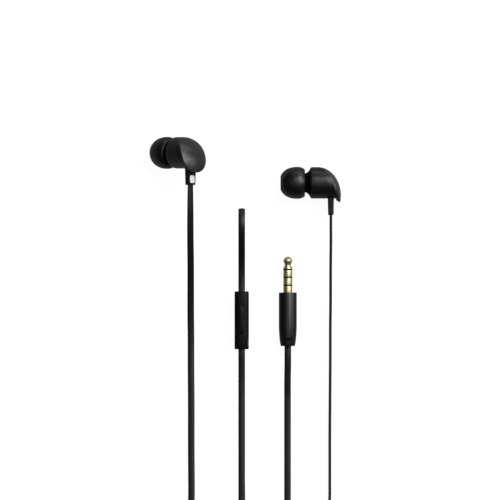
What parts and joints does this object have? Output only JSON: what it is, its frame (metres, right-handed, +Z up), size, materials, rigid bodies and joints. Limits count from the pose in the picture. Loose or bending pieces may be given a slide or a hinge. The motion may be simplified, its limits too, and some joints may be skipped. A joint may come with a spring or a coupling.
{
  "type": "wired earphones",
  "caption": "Wired in-ear earphones with silicone eartips, flat cable, in-line remote with microphone, splitter and four-contact plug.",
  "frame": {"origin": "midway between the two earbuds, on the surface that the set lies on", "axes": "+Z up from that surface, +X from the left earbud to the right one, +Y away from the cables, along the stems"},
  "size_m": [0.0935, 0.2229, 0.0224],
  "materials": {
    "tip_silicone": "matte silicone",
    "neck_black": "fine satin, near black",
    "steel": "pressed and plated",
    "housing_satin": "satin moulded, fine spark texture",
    "cap_satin": "satin moulded, slightly lighter than the barrel",
    "inner_black": "plain moulded",
    "film": "clear amber film",
    "copper": "enamelled wire",
    "magnet": "nickel plated",
    "board": "solder mask",
    "cable_skin": "satin extruded elastomer",
    "stem_soft": "satin elastomer",
    "mark_white": "bare satin white",
    "remote_satin": "satin moulded",
    "button_satin": "satin moulded",
    "contact_gold": "pale gold plated, polished",
    "insulator": "moulded, dark brown",
    "plug_moulding": "satin moulded",
    "tie": "flat coated wire"
  },
  "bodies": {
    "set": {"left_nozzle": "neck_black", "left_nozzle_mesh": "steel", "left_barrel": "housing_satin", "left_rear_cap": "cap_satin", "left_driver_frame": "inner_black", "left_diaphragm": "film", "left_voice_coil": "copper", "left_magnet": "magnet", "left_yoke": "steel", "left_pole_plate": "steel", "left_driver_board": "board", "left_cable_knot": "cable_skin", "left_stem": "stem_soft", "left_side_mark": "mark_white", "right_nozzle": "neck_black", "right_nozzle_mesh": "steel", "right_barrel": "housing_satin", "right_rear_cap": "cap_satin", "right_driver_frame": "inner_black", "right_diaphragm": "film", "right_voice_coil": "copper", "right_magnet": "magnet", "right_yoke": "steel", "right_pole_plate": "steel", "right_driver_board": "board", "right_cable_knot": "cable_skin", "right_stem": "stem_soft", "right_side_mark": "mark_white", "remote_front_shell": "remote_satin", "remote_rear_shell": "remote_satin", "remote_board": "board", "remote_switch": "steel", "mic_capsule": "steel", "mic_gasket": "neck_black", "plug_tip": "contact_gold", "plug_first_ring": "contact_gold", "plug_second_ring": "contact_gold", "plug_sleeve": "contact_gold", "plug_insulators": "insulator", "plug_inner_mould": "inner_black", "plug_body": "plug_moulding", "splitter_front_shell": "remote_satin", "splitter_rear_shell": "remote_satin", "splitter_crimp": "steel", "left_leg_upper": "cable_skin", "left_leg_lower": "cable_skin", "right_leg": "cable_skin", "right_leg_coil": "cable_skin", "right_leg_end": "cable_skin", "trunk_start": "cable_skin", "trunk_coil": "cable_skin", "plug_lead": "cable_skin", "right_leg_tie": "tie", "trunk_tie": "tie"},
    "left_tip": {"left_eartip": "tip_silicone"},
    "right_tip": {"right_eartip": "tip_silicone"},
    "button": {"remote_button": "button_satin"}
  },
  "joints": [
    {"name": "left_tip_pull", "type": "slide", "parent": "set", "child": "left_tip", "axis": [-0.6947, 0, -0.7193], "range_m": [0, 0.009]},
    {"name": "right_tip_pull", "type": "slide", "parent": "set", "child": "right_tip", "axis": [-1, 0, 0], "range_m": [0, 0.009]},
    {"name": "button_press", "type": "slide", "parent": "set", "child": "button", "axis": [0, 0, -1], "range_m": [0, 0.0003], "stiffness_N_per_m": 2000}
  ]
}
